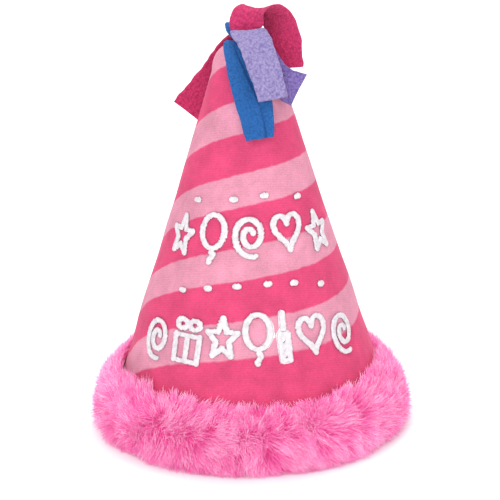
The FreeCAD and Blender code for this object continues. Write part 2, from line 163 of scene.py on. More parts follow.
# a wave texture repeats every 0.314 over its Scale
wave_repeat = 0.314
place = add(tree, "ShaderNodeTexCoord").outputs["Object"]
panel = add(tree, "ShaderNodeUVMap", {"uv_map": "flat_panel"}).outputs["UV"]
printed = add(tree, "ShaderNodeUVMap", {"uv_map": "band_count"}).outputs["UV"]
band = add(tree, "ShaderNodeSeparateXYZ", Vector=printed)
wander = add(tree, "ShaderNodeTexNoise", {"Scale": 1 / (8 * mm), "Detail": 3.0, "Roughness": 0.6},
             Vector=place)
wobble = add(tree, "ShaderNodeMath", {"operation": "MULTIPLY_ADD", 1: 0.05, 2: 0.475},
             in0=wander.outputs["Fac"])
shifted = add(tree, "ShaderNodeMath", {"operation": "ADD"}, in0=band.outputs["X"], in1=wobble.outputs[0])
part_of = add(tree, "ShaderNodeMath", {"operation": "FRACT"}, in0=shifted.outputs[0])
centred = add(tree, "ShaderNodeMath", {"operation": "SUBTRACT", 1: 0.5}, in0=part_of.outputs[0])
distance = add(tree, "ShaderNodeMath", {"operation": "ABSOLUTE"}, in0=centred.outputs[0])
edge = add(tree, "ShaderNodeMapRange", {"interpolation_type": "SMOOTHSTEP",
           1: half_light - band_blur, 2: half_light + band_blur}, in0=distance.outputs[0])
bands = add(tree, "ShaderNodeMix", {"data_type": "RGBA", 6: linear("#CF899F"), 7: linear("#CB456E")},
            in0=edge.outputs[0])
brushed = add(tree, "ShaderNodeTexNoise", {"Scale": 1 / (15 * mm), "Detail": 4.0, "Roughness": 0.62},
              Vector=place)
lean = add(tree, "ShaderNodeMapRange", {1: 0.3, 2: 0.7, 3: 0.84, 4: 1.1}, in0=brushed.outputs["Fac"])
nap = add(tree, "ShaderNodeTexNoise", {"Scale": 1 / (0.9 * mm), "Detail": 2.0, "Roughness": 0.55},
          Vector=place)
speck = add(tree, "ShaderNodeMapRange", {1: 0.3, 2: 0.7, 3: 0.88, 4: 1.08}, in0=nap.outputs["Fac"])
tone = add(tree, "ShaderNodeMath", {"operation": "MULTIPLY"}, in0=lean.outputs[0], in1=speck.outputs[0])
# the knit's courses show as a rib under 1 mm, drawn at 1.6 mm so that it reads
rib = add(tree, "ShaderNodeTexWave", {"bands_direction": "Y", "Scale": wave_repeat / (1.6 * mm),
          "Distortion": 1.2, "Detail": 1.0}, Vector=panel)
ribbed = add(tree, "ShaderNodeMath", {"operation": "MULTIPLY_ADD", 1: 0.08, 2: 0.96}, in0=rib.outputs["Fac"])
shade = add(tree, "ShaderNodeMath", {"operation": "MULTIPLY"}, in0=tone.outputs[0], in1=ribbed.outputs[0])
coloured = add(tree, "ShaderNodeVectorMath", {"operation": "SCALE"}, in0=bands.outputs[2],
               Scale=shade.outputs[0])
tree.links.new(coloured.outputs[0], shader.inputs["Base Color"])
pile_height = add(tree, "ShaderNodeMath", {"operation": "MULTIPLY_ADD", 1: 0.25}, in0=rib.outputs["Fac"],
                  in2=nap.outputs["Fac"])
bump = add(tree, "ShaderNodeBump", {"Strength": 0.35, "Distance": 0.35 * mm}, Height=pile_height.outputs[0])
tree.links.new(bump.outputs[0], shader.inputs["Normal"])


def drape(points):
    """How far the soft wall stands out of the true cone: slow swells, as foam gives."""
    return 0.9 * mm * drift(points, 0.075, 3) + 0.35 * mm * drift(points, 0.028, 4)


# Embroidery outlines come before the velour's mesh, because every column of
# stitches pulls the cloth in beneath it and lets it swell beside it.
def oval(radius_x, radius_y, centre, steps=48, turn=0.0):
    """A closed oval outline in the motif's unit square."""
    angle = np.linspace(0, 2 * math.pi, steps + 1) + turn
    return np.stack([centre[0] + radius_x * np.cos(angle), centre[1] + radius_y * np.sin(angle)], 1)


def straight_columns(corners):
    """Straight columns round a closed outline."""
    return [np.array([start, end]) for start, end in zip(corners, corners[1:] + corners[:1])]


def star_strokes(outer=0.39, inner=0.175, slim=0.8):
    """A five-pointed star as ten straight columns."""
    corners = []
    for i in range(10):
        radius = outer if i % 2 == 0 else inner
        angle = math.pi / 2 + math.pi * i / 5
        corners.append((0.5 + slim * radius * math.cos(angle), 0.5 + radius * math.sin(angle)))
    return straight_columns(corners)


def heart_strokes(scale=0.79, slim=0.8):
    """A heart as two curved columns that meet at the notch and the point."""
    halves = []
    for side in (1, -1):
        t = np.linspace(0.0, math.pi, 40)
        x = 16 * np.sin(t) ** 3 * side
        y = 13 * np.cos(t) - 5 * np.cos(2 * t) - 2 * np.cos(3 * t) - np.cos(4 * t)
        halves.append(np.stack([0.5 + slim * scale * x / 34, 0.508 + scale * (y + 2.5) / 34], 1))
    return halves


def spiral_strokes(turns=1.7, slim=0.84):
    """One column that winds outward."""
    t = np.linspace(0, 1, 90)
    angle = 2 * math.pi * turns * t + 0.6
    radius = 0.09 + 0.33 * t
    return [np.stack([0.5 + slim * radius * np.cos(angle), 0.5 + radius * np.sin(angle)], 1)]


def balloon_strokes():
    """An oval balloon and its wavy string."""
    t = np.linspace(0, 1, 24)
    string = np.stack([0.51 + 0.035 * np.sin(t * 5.2), 0.21 - 0.19 * t], 1)
    return [oval(0.25, 0.325, (0.5, 0.61), turn=-math.pi / 2), string]


def gift_strokes():
    """A box with an upright ribbon and the two loops of its bow."""
    sides = straight_columns([(0.215, 0.075), (0.785, 0.075), (0.785, 0.565), (0.215, 0.565)])
    ribbon = [np.array([(0.5, 0.1), (0.5, 0.54)])]
    loops = [oval(0.115, 0.085, (0.5 + 0.15 * side, 0.78), turn=math.pi * (0.5 + 0.5 * side))
             for side in (1, -1)]
    return sides + ribbon + loops


def candle_strokes():
    """A candle with three slanting twists and a flame."""
    sides = straight_columns([(0.42, 0.05), (0.58, 0.05), (0.58, 0.54), (0.42, 0.54)])
    twists = [np.array([(0.42, 0.12 + 0.15 * k), (0.58, 0.24 + 0.15 * k)]) for k in range(3)]
    flame = [np.array([(0.5, 0.66), (0.505, 0.94)])]
    return sides + twists + flame


upper_height = 33 * mm
lower_height = 34 * mm
STAR = star_strokes()
HEART = heart_strokes()
SPIRAL = spiral_strokes()
BALLOON = balloon_strokes()
stitched = [
    ("motif_star_upper_left", STAR, -53.0, 147, upper_height),
    ("motif_balloon_upper", BALLOON, -25.5, 150, upper_height),
    ("motif_spiral_upper", SPIRAL, 1.6, 152, upper_height),
    ("motif_heart_upper", HEART, 29.5, 151.5, upper_height),
    ("motif_star_upper_right", STAR, 57.0, 147, upper_height),
    ("motif_spiral_lower_left", SPIRAL, -54.0, 78, lower_height),
    ("motif_gift_lower", gift_strokes(), -33.5, 82.5, lower_height),
    ("motif_star_lower", STAR, -14.0, 85.5, lower_height),
    ("motif_balloon_lower", BALLOON, 4.2, 86.5, lower_height),
    ("motif_candle_lower", candle_strokes(), 18.0, 86, lower_height),
    ("motif_heart_lower", HEART, 34.0, 83.5, lower_height),
    ("motif_spiral_lower_right", SPIRAL, 55.0, 79, lower_height),
]
DOTS = [(-44.0, 172), (-11.0, 175), (14.0, 177), (44.0, 173), (-42.0, 113),
        (-24.5, 117), (-7.0, 119.5), (11.5, 120.5), (28.0, 119), (47.0, 114)]
dot_stroke = [np.array([(0.48, 0.5), (0.52, 0.5)])]


def on_cone(flat, azimuth, centre, size, lift):
    """Unit-square points, laid on the cone at an angle and height, and lifted off it."""
    turn = math.radians(azimuth)
    sideways = (flat[:, 0] - 0.5) * size
    height = centre * mm + (flat[:, 1] - 0.5) * size
    radius = cone_radius(height)
    ahead = np.sqrt(np.maximum(radius ** 2 - sideways ** 2, 1e-9))
    tangent = np.array([math.cos(turn), math.sin(turn), 0])
    outward = np.array([math.sin(turn), -math.cos(turn), 0])
    points = sideways[:, None] * tangent + ahead[:, None] * outward
    points[:, 2] = height
    normal = points * np.array([1, 1, 0]) / radius[:, None]
    normal = normal * math.cos(cone_half_angle) + np.array([0, 0, math.sin(cone_half_angle)])
    return points + normal * (lift + drape(points))[:, None]


def walk(path, step):
    """A path resampled at even steps along its length."""
    along = np.concatenate([[0], np.cumsum(np.linalg.norm(np.diff(path, axis=0), axis=1))])
    even = np.linspace(0, along[-1], max(4, int(round(along[-1] / step)) + 1))
    return np.stack([np.interp(even, along, path[:, k]) for k in (0, 1)], 1), even


stitch_points = []
for name, strokes, azimuth, centre, size in stitched:
    for stroke in strokes:
        flat = walk(stroke * size, 1.2 * mm)[0] / size
        stitch_points.append(on_cone(flat, azimuth, centre, size, np.zeros(len(flat))))
for azimuth, centre in DOTS:
    stitch_points.append(on_cone(dot_stroke[0], azimuth, centre, lower_height, np.zeros(2)))
stitch_points = np.concatenate(stitch_points)


stitched_low = 51 * mm
stitched_high = 191 * mm


def pucker(points):
    """The pull of nearby stitches: in beneath a column, a small swell beside it."""
    out = np.zeros(len(points))
    near = np.nonzero((points[:, 1] < 0) & (points[:, 2] > stitched_low) & (points[:, 2] < stitched_high))[0]
    for chunk in np.array_split(near, max(1, len(near) // 1500)):
        gap = np.sqrt(((points[chunk][:, None] - stitch_points[None]) ** 2).sum(-1)).min(1) / mm
        out[chunk] = (-1.0 * np.exp(-(gap / 3.1) ** 2) + 0.55 * np.exp(-((gap - 6.5) / 3.0) ** 2)) * mm
    return out


columns = 264
angles = np.linspace(-math.pi, math.pi, columns, endpoint=False)
dome_steps = np.sin(np.linspace(0.12, math.pi / 2, 12))
cone_rows = 182
outer_heights = np.concatenate([np.linspace(brim_edge, dome_start, cone_rows),
                                dome_start + (tip_top - dome_start) * dome_steps])
outer_radii = cone_radius(outer_heights)
dome_radius = cone_radius(dome_start)
on_dome = outer_heights > dome_start
rise = (outer_heights[on_dome] - dome_start) / (tip_top - dome_start)
outer_radii[on_dome] = tip_opening + (dome_radius - tip_opening) * np.sqrt(np.maximum(0, 1 - rise ** 2))
inner_heights = np.linspace(tip_top - 2 * mm, brim_edge, 24)
inner_radii = np.minimum(cone_radius(inner_heights) - velour_wall, np.interp(
    inner_heights, outer_heights + 0.5 * mm, outer_radii) - velour_wall)
inner_radii = np.maximum(inner_radii, 7.6 * mm)
heights = np.concatenate([outer_heights, inner_heights])
radii = np.concatenate([outer_radii, inner_radii])
angle_grid, radius_grid, height_grid = swept(angles, radii, heights)
skin = around(angle_grid.ravel(), radius_grid.ravel(), height_grid.ravel())
outside = np.repeat(np.arange(len(heights)) < len(outer_heights), columns)
outward = skin * np.array([1, 1, 0]) / radius_grid.reshape(-1, 1)
outward = outward * math.cos(cone_half_angle) + np.array([0, 0, math.sin(cone_half_angle)])
ease = np.clip((tip_top - height_grid.ravel()) / (30 * mm), 0, 1)
shift = drape(skin) * ease + np.where(outside, pucker(skin), 0)
from_seam = np.abs(np.abs(angle_grid.ravel()) - math.pi) * radius_grid.ravel()
shift -= np.where(outside, 1.3 * mm * np.exp(-(from_seam / (1.1 * mm)) ** 2), 0)
shift += np.where(outside, 0.5 * mm * np.exp(-((from_seam - 4 * mm) / (2.2 * mm)) ** 2), 0)
skin += outward * shift[:, None]
velour_piece = make_piece("velour_cone", skin, ring_faces(len(heights), columns), "hat", velour)
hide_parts("velour_panel")

# the flat cut pattern of the panel is its UV map, in metres
slant = (apex_height - heights) / math.cos(cone_half_angle)
row_of = np.repeat(np.arange(len(heights)), columns)
column_of = np.tile(np.arange(columns), len(heights))
corner_rows = np.stack([row_of, row_of, (row_of + 1) % len(heights), (row_of + 1) % len(heights)], 1).ravel()
corner_columns = np.stack([column_of, column_of + 1, column_of + 1, column_of], 1).ravel()
spread = (-math.pi + 2 * math.pi * corner_columns / columns) * math.sin(cone_half_angle)
flat_panel = np.stack([slant[corner_rows] * np.sin(spread), -slant[corner_rows] * np.cos(spread)], 1)
layer = velour_piece.data.uv_layers.new(name="flat_panel")
layer.data.foreach_set("uv", flat_panel.astype(np.float32).ravel())

# The print runs 21 degrees off the panel's own line.  It bows, twists and leans a
# little where the panel was eased, and the side parts follow on evenly.
print_turn = math.radians(21.2)
print_bow = 0.6
print_twist = 8.2
print_lean = 1.07
eased = flat_panel[:, 0] / (1 + np.abs(flat_panel[:, 0] / 0.16) ** 5) ** 0.2
across = flat_panel[:, 1] * math.cos(print_turn) - flat_panel[:, 0] * math.sin(print_turn)
across -= print_bow * eased ** 2 + print_twist * eased ** 3 + print_lean * eased * flat_panel[:, 1]

# the print repeats every 46 mm; its last repeat, by the cuff, is stretched wider
print_repeat = 46 * mm
cuff_repeat = 60 * mm
lowest_light = -232.4 * mm
beyond_light = across - lowest_light
band_count = np.where(beyond_light > 0, beyond_light / print_repeat, beyond_light / cuff_repeat)
layer = velour_piece.data.uv_layers.new(name="band_count")
layer.data.foreach_set("uv", np.stack([band_count, 0 * band_count], 1).astype(np.float32).ravel())

# ------------------------------------------------------------------ back seam
# The panel's two edges are sewn together with spun polyester and turned in, so
# the thread shows only as short slanting bites down in the groove.
def patterned(name, colour, roughness, sheen, texture, settings, tones, relief):
    """A cloth or thread whose one fine pattern both tints it and raises its surface.

    Tones are the pattern's low and high values and the shares of colour they turn
    into; relief is the bump's strength and depth."""
    material, tree, shader = new_material(name, colour, roughness, sheen)
    place = add(tree, "ShaderNodeTexCoord").outputs["Object"]
    pattern = add(tree, texture, settings, Vector=place)
    value = pattern.outputs["Distance" if texture == "ShaderNodeTexVoronoi" else "Fac"]
    tone = add(tree, "ShaderNodeMapRange", dict(enumerate(tones, start=1)), in0=value)
    coloured = add(tree, "ShaderNodeVectorMath", {"operation": "SCALE", 0: linear(colour)[:3]},
                   Scale=tone.outputs[0])
    tree.links.new(coloured.outputs[0], shader.inputs["Base Color"])
    bump = add(tree, "ShaderNodeBump", {"Strength": relief[0], "Distance": relief[1]}, Height=value)
    tree.links.new(bump.outputs[0], shader.inputs["Normal"])
    return material


# spun thread: low gloss, a little hairy, lighter where a ply faces out
stitch_thread = patterned("Polyester_thread_spun", "#D8346B", 0.55, 0.15, "ShaderNodeTexNoise",
                          {"Scale": 1 / (0.35 * mm), "Detail": 1.0, "Roughness": 0.55},
                          (0.3, 0.7, 0.8, 1.1), (0.4, 0.1 * mm))


def stitch_row(name, starts, ends, radius, body, material):
    """Separate stitches: each a short plump thread, thinner where it enters the cloth."""
    sides = 7
    stations = [0.0, 0.18, 0.5, 0.82, 1.0]
    plump = [0.35, 0.9, 1.0, 0.9, 0.35]
    points = []
    faces = []
    for start, end in zip(starts, ends):
        along = Vector(end) - Vector(start)
        side = along.orthogonal().normalized()
        other = along.normalized().cross(side)
        first = len(points)
        for share, fat in zip(stations, plump):
            centre = Vector(start) + along * share
            for k in range(sides):
                turn = 2 * math.pi * k / sides
                points.append(centre + (side * math.cos(turn) + other * math.sin(turn)) * radius * fat)
        for ring in range(len(stations) - 1):
            for k in range(sides):
                a = first + ring * sides + k
                b = first + ring * sides + (k + 1) % sides
                faces.append((a, b, b + sides, a + sides))
        for ring in (0, len(stations) - 1):
            tip = first + ring * sides
            for k in range(1, sides - 2, 2):
                quad = (tip, tip + k, tip + k + 1, tip + k + 2)
                faces.append(quad[::-1] if ring == 0 else quad)
    return make_piece(name, points, faces, body, material)


seam_heights = np.arange(42 * mm, dome_start - 4 * mm, 3.4 * mm)
seam_radii = cone_radius(seam_heights) - 0.55 * mm
left = np.stack([-0.75 * mm + 0 * seam_heights, seam_radii, seam_heights - 0.5 * mm], 1)
right = np.stack([0.75 * mm + 0 * seam_heights, seam_radii, seam_heights + 0.7 * mm], 1)
for row in (left, right):
    row[:, 1] += drape(row)
seam = stitch_row("back_seam_stitches", left, right, 0.3 * mm, "hat", stitch_thread)
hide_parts("back_seam_thread")

# ------------------------------------------------------------------ embroidery
# Glossy white thread laid side by side in satin columns about 4 mm wide, padded
# so that each column stands up, in party motifs on two rows with dots between.

# Rayon thread: filament laid straight, so it has a silky gloss along each column; its white is painted greyer
# in soft patches about 3 mm across, a painted shade for the grey that the gloss turns where it faces away
# from the light.
satin_thread, tree, shader = new_material("Rayon_thread_satin_stitched", "#DCD7DC", 0.36, ior=1.53)
place = add(tree, "ShaderNodeTexCoord").outputs["Object"]
grey_patches = add(tree, "ShaderNodeTexNoise", {"Scale": 1 / (3 * mm), "Detail": 3.0, "Roughness": 0.55},
           Vector=place)
# painted shade: the white dims to about three quarters of itself in these patches
faint = add(tree, "ShaderNodeMapRange", {1: 0.3, 2: 0.7, 3: 0.74, 4: 1.02}, in0=grey_patches.outputs["Fac"])
coloured = add(tree, "ShaderNodeVectorMath", {"operation": "SCALE", 0: linear("#DCD7DC")[:3]},
               Scale=faint.outputs[0])
tree.links.new(coloured.outputs[0], shader.inputs["Base Color"])
fibre = add(tree, "ShaderNodeTexNoise", {"Scale": 1 / (0.25 * mm), "Detail": 1.0, "Roughness": 0.55},
            Vector=place)
bump = add(tree, "ShaderNodeBump", {"Strength": 0.2, "Distance": 0.06 * mm}, Height=fibre.outputs["Fac"])
tree.links.new(bump.outputs[0], shader.inputs["Normal"])

# real threads lie 0.4 mm apart; they are drawn at 1.1 mm so that they show
thread_pitch = 1.1 * mm
column_width = 4.2 * mm
pad_height = 0.95 * mm


def satin_column(stroke, size, azimuth, centre, width, seed):
    """One padded column: ridges of thread slant across a path, round at both ends."""
    path, along = walk(stroke * size, thread_pitch / 5)
    run = along[-1]
    closed = np.linalg.norm(path[0] - path[-1]) < 0.2 * mm
    ahead = np.gradient(path, axis=0)
    if closed:
        ahead[0] = ahead[-1] = path[1] - path[-2]
    ahead /= np.linalg.norm(ahead, axis=1)[:, None] + 1e-12
    side = np.stack([-ahead[:, 1], ahead[:, 0]], 1)
    boldness = 0.82 + 0.3 * np.abs(ahead[:, 1])
    reach = width / 2
    if not closed:
        # the ends run on past the path by half a width and close in a half round
        extra = np.linspace(0.06, 0.97, 7) * reach
        before = path[0] - ahead[0] * extra[::-1, None]
        after = path[-1] + ahead[-1] * extra[:, None]
        path = np.concatenate([before, path, after])
        side = np.concatenate([np.repeat(side[:1], 7, 0), side, np.repeat(side[-1:], 7, 0)])
        along = np.concatenate([-extra[::-1], along, run + extra])
        boldness = np.concatenate([np.full(7, boldness[0]), boldness, np.full(7, boldness[-1])])
    beyond = np.clip(np.maximum(-along, along - run) / reach, 0, 1)
    rng = np.random.default_rng(seed)
    ragged = 1 + 0.08 * rng.normal(size=4096)
    cross = np.linspace(-1, 1, 9)
    rings = []
    for v in cross:
        phase = (along + 0.45 * v * reach) / thread_pitch
        strand = np.floor(phase).astype(int)
        ridge = np.abs(np.sin(math.pi * phase))
        half = reach * boldness * np.sqrt(np.maximum(1 - beyond ** 2, 0.01)) * ragged[strand % 4096]
        flat = (path + side * (v * half)[:, None]) / size
        crown = math.sqrt(max(0.0, 1 - 0.95 * v ** 4))
        lift = pad_height * crown * np.sqrt(np.maximum(1 - 0.9 * beyond ** 2, 0)) - 0.25 * mm
        lift = lift + 0.34 * mm * ridge * crown
        rings.append(on_cone(flat, azimuth, centre, size, lift))
    rings.append(on_cone(path / size, azimuth, centre, size, np.full(len(path), -0.5 * mm)))
    grid = np.stack(rings, 1)
    rows, sides = grid.shape[:2]
    faces = ring_faces(rows, sides)
    if not closed:
        faces = faces[:(rows - 1) * sides]
    return grid.reshape(-1, 3), faces[:, ::-1]


def embroider(name, strokes, placings, width):
    """All the columns of one stitched motif, at each of its placings, as one piece."""
    points = []
    faces = []
    total = 0
    for azimuth, centre, size in placings:
        for number, stroke in enumerate(strokes):
            seed = number + int(abs(azimuth) * 10)
            column, quads = satin_column(stroke, size, azimuth, centre, width, seed)
            points.append(column)
            faces.append(quads + total)
            total += len(column)
    piece = make_piece(name + "_stitched", np.concatenate(points), np.concatenate(faces), "hat", satin_thread)
    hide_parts(name)


for name, strokes, azimuth, centre, size in stitched:
    embroider(name, strokes, [(azimuth, centre, size)], column_width)
dot_width = 5.1 * mm
embroider("motif_dots", dot_stroke, [(azimuth, centre, lower_height) for azimuth, centre in DOTS], dot_width)

# ------------------------------------------------------------------ foam and stiffener
# Hidden between velour and lining: open-cell foam that keeps the cone standing,
# and the crisp non-woven that the embroidery was stitched through.

# cut foam: cream, dead matt and full of small open pores
foam = patterned("Polyether_foam_cut", "#E9E6DC", 0.95, 0.0, "ShaderNodeTexVoronoi",
                 {"Scale": 1 / (1.2 * mm)}, (0.0, 0.8, 0.75, 1.05), (0.6, 0.4 * mm))

# bonded fibres: white, cloudy and faintly downy
wadding = patterned("Polyester_wadding_and_backing", "#F1EEF0", 0.95, 0.2, "ShaderNodeTexNoise",
                    {"Scale": 1 / (1.5 * mm), "Detail": 4.0, "Roughness": 0.7},
                    (0.3, 0.7, 0.85, 1.0), (0.5, 0.5 * mm))


def wear(node, material):
    """A CAD node whose shape is right takes a material of its own."""
    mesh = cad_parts[node].data
    mesh.materials.clear()
    mesh.materials.append(material)


wear("foam_interlining", foam)
wear("embroidery_stabiliser", wadding)
wear("cuff_filling", wadding)
wear("cuff_thread", stitch_thread)

# ------------------------------------------------------------------ lining
# Pink woven lining, cut like the velour and a little loose, so it hangs inside in
# soft upright folds and is gathered to a pleated rosette under the tip.

# Plain-woven filament: smooth and slightly lustrous, with a few thick yarns.
lining_cloth, tree, shader = new_material("Polyester_lining_woven", "#E58BA6", 0.5, 0.2)
place = add(tree, "ShaderNodeTexCoord").outputs["Object"]
# yarns are 0.25 mm apart, drawn at 1 mm so that the weave shows
warp = add(tree, "ShaderNodeTexWave", {"bands_direction": "Z", "Scale": wave_repeat / (1 * mm)}, Vector=place)
weft = add(tree, "ShaderNodeTexWave", {"bands_direction": "X", "Scale": wave_repeat / (1 * mm)}, Vector=place)
weave = add(tree, "ShaderNodeMath", {"operation": "MULTIPLY"}, in0=warp.outputs["Fac"],
            in1=weft.outputs["Fac"])
slubs = add(tree, "ShaderNodeTexNoise", {"Scale": 1 / (6 * mm), "Detail": 3.0, "Roughness": 0.55},
            Vector=place)
woven = add(tree, "ShaderNodeMath", {"operation": "MULTIPLY_ADD", 1: 0.12, 2: 0.86}, in0=weave.outputs[0])
uneven = add(tree, "ShaderNodeMath", {"operation": "MULTIPLY_ADD", 1: 0.16}, in0=slubs.outputs["Fac"],
             in2=woven.outputs[0])
coloured = add(tree, "ShaderNodeVectorMath", {"operation": "SCALE", 0: linear("#E58BA6")[:3]},
               Scale=uneven.outputs[0])
tree.links.new(coloured.outputs[0], shader.inputs["Base Color"])
bump = add(tree, "ShaderNodeBump", {"Strength": 0.25, "Distance": 0.15 * mm}, Height=weave.outputs[0])
tree.links.new(bump.outputs[0], shader.inputs["Normal"])

lining_low, lining_high = (corner.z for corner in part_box("lining_panel"))
lining_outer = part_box("lining_panel")[1].x - cone_radius(lining_low)
lining_rows = 70
lining_columns = 180
rise = np.linspace(0, 1, lining_rows)
face_heights = lining_low + (lining_high - 1.5 * mm - lining_low) * rise
face_radii = cone_radius(face_heights) + lining_outer - 0.8 * mm
roof_radii = np.linspace(face_radii[-1] - 2 * mm, 1.8 * mm, 10)
roof_heights = np.linspace(lining_high - 1.4 * mm, lining_high - 3.0 * mm, 10)
inner_r = np.concatenate([face_radii, roof_radii])
inner_z = np.concatenate([face_heights, roof_heights])
outer_r = inner_r[::-1] + 0.5 * mm
outer_z = inner_z[::-1] + np.where(inner_r[::-1] < face_radii[-1] - mm, 0.5 * mm, 0)
loop_r = np.concatenate([inner_r, outer_r])
loop_z = np.concatenate([inner_z, outer_z])
lining_angles = np.linspace(-math.pi, math.pi, lining_columns, endpoint=False)
angle_grid, radius_grid, height_grid = swept(lining_angles, loop_r, loop_z)
gather = np.clip((height_grid - lining_low) / (lining_high - lining_low), 0, 1)
folds = (0.5 + 0.5 * np.cos(15 * angle_grid + 2.0 * np.sin(2 * angle_grid + 9 * gather))) ** 2
depth = (0.5 + 1.3 * gather) * mm * np.minimum(1, radius_grid / (12 * mm)) * np.minimum(1, 6 * gather + 0.1)
pleats = np.where(radius_grid < face_radii[-1] - mm, 0.8 * mm * np.sin(22 * angle_grid), 0)
cloth = around(angle_grid.ravel(), (radius_grid - folds * depth).ravel(), (height_grid + pleats).ravel())
lining_piece = make_piece("lining", cloth, ring_faces(len(loop_r), lining_columns)[:, ::-1], "hat",
                          lining_cloth)
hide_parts("lining_panel")

# ------------------------------------------------------------------ sweatband
# A strip of cotton twill tape inside the brim, sewn on with two rows of thread;
# it follows the head, so it is very slightly wavy.

# Woven cotton: matt, with fine slanting ridges.  Its twill lines are 0.5 mm apart
# and are drawn at 1.2 mm so that they show.
twill_tape = patterned("Cotton_twill_tape", "#CF5E82", 0.85, 0.25, "ShaderNodeTexWave",
                       {"bands_direction": "DIAGONAL", "Scale": wave_repeat / (1.2 * mm), "Distortion": 0.6,
                        "Detail": 1.0}, (0.0, 1.0, 0.84, 1.05), (0.35, 0.2 * mm))

band_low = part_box("sweatband")[0].z
band_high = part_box("sweatband")[1].z
band_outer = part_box("sweatband")[1].x
band_inner = band_outer - 1.2 * mm
band_rows = 20
share = np.linspace(0, 1, band_rows)
roll = 0.45 * mm * np.sqrt(np.maximum(0, 1 - np.minimum(share, 1 - share) * 12).clip(0, 1))
loop_r = np.concatenate([band_inner + roll, (band_outer - roll)[::-1]])
climb = band_low + (band_high - band_low) * share
loop_z = np.concatenate([climb, climb[::-1]])
band_columns = 220
band_angles = np.linspace(-math.pi, math.pi, band_columns, endpoint=False)
angle_grid, radius_grid, height_grid = swept(band_angles, loop_r, loop_z)


def tape_wave(angle):
    """How far the tape strays from a true circle."""
    return 0.3 * mm * np.sin(9 * angle + 1) + 0.18 * mm * np.sin(23 * angle)


band = around(angle_grid.ravel(), (radius_grid + tape_wave(angle_grid)).ravel(), height_grid.ravel())
band_piece = make_piece("sweatband_tape", band, ring_faces(len(loop_r), band_columns)[:, ::-1], "hat",
                        twill_tape)
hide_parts("sweatband")

stitch_count = 170
starts = []
ends = []
for row_height in (band_low + 3 * mm, band_high - 2.6 * mm):
    turn = np.linspace(-math.pi, math.pi, stitch_count, endpoint=False)
    for shift_turn, bucket in ((0.0, starts), (0.7, ends)):
        here = turn + shift_turn * 2 * math.pi / stitch_count
        bucket.append(around(here, band_inner + tape_wave(here) - 0.05 * mm, row_height + 0 * here))
band_stitches = stitch_row("sweatband_stitches", np.concatenate(starts), np.concatenate(ends), 0.28 * mm,
                           "hat", stitch_thread)
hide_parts("sweatband_thread")

# ------------------------------------------------------------------ brim facing and cuff backing
# A pressed felt ring closes the wall from below, and a knitted tube carries the
# fur; both are pink and matt, and both are mostly under the pile.

# pressed felt: dull, blotchy and hairy at the edge
felt = patterned("Wool_felt_pressed", "#D9628C", 0.95, 0.3, "ShaderNodeTexNoise",
                 {"Scale": 1 / (1.1 * mm), "Detail": 5.0, "Roughness": 0.75},
                 (0.3, 0.7, 0.8, 1.08), (0.6, 0.3 * mm))

facing_low, facing_high = (corner.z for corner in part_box("brim_facing"))
facing_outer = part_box("brim_facing")[1].x
facing_inner = band_outer + 0.2 * mm
cut = np.linspace(0, 1, 14)
soft_edge = 0.35 * mm * (np.exp(-cut * 18) + np.exp(-(1 - cut) * 18))
loop_r = facing_inner + (facing_outer - facing_inner) * np.concatenate([cut, cut[::-1]])
loop_z = np.concatenate([facing_low + soft_edge, (facing_high - soft_edge)[::-1]])
angle_grid, radius_grid, height_grid = swept(band_angles, loop_r, loop_z)
ring = around(angle_grid.ravel(), radius_grid.ravel(), height_grid.ravel())
ring[:, 2] += 0.22 * mm * drift(ring, 0.012, 9)
facing_piece = make_piece("brim_facing_felt", ring, ring_faces(len(loop_r), band_columns), "hat", felt)
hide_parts("brim_facing")
wear("cuff_backing", felt)

# ------------------------------------------------------------------ fur cuff
# Long pink faux fur on a soft roll: fine fibres, about 15 mm long, that cling
# together in tufts, part in whorls and lap up over the velour.

# Acrylic fibre: each is deep pink at its root and paler towards its tip, the darker roots partly a painted
# shade for the shade that falls deep in the pile, and the light that passes through such fine fibres is
# painted as a faint glow of their own.
fur_shades = []
for shade, code in (("root", "#E5529F"), ("deep", "#ED64AE"), ("mid", "#F179BA"), ("pale", "#F799CC"),
                    ("tip", "#FDBEE0")):
    material, tree, shader = new_material("Acrylic_fur_fibre_" + shade, code, 0.55, 0.25, "#FFC4E2", 0.5)
    shader.inputs["Specular IOR Level"].default_value = 0.3
    shader.inputs["Emission Color"].default_value = linear(code)
    shader.inputs["Emission Strength"].default_value = 0.17
    fur_shades.append(material)

# the roll that the fibres grow from, as radius and height, from foot to velour
ROLL = np.array([(99.0, 2.4), (102.2, 3.6), (104.0, 8), (104.3, 13), (103.3, 19), (101.4, 25), (98.9, 31),
                 (96.2, 36), (93.4, 40.5)]) * mm
roll_steps = np.concatenate([[0], np.cumsum(np.linalg.norm(np.diff(ROLL, axis=0), axis=1))])
roll_length = roll_steps[-1]


def on_roll(share):
    """Radius, height and outward normal (radius and height parts) along the roll."""
    radius, height = (np.interp(share * roll_length, roll_steps, ROLL[:, k]) for k in (0, 1))
    near = np.clip(share - 0.07, 0, 1) * roll_length
    far = np.clip(share + 0.07, 0, 1) * roll_length
    widening, climbing = (np.interp(far, roll_steps, ROLL[:, k]) - np.interp(near, roll_steps, ROLL[:, k])
                          for k in (0, 1))
    size = np.hypot(widening, climbing) + 1e-12
    return radius, height, climbing / size, -widening / size
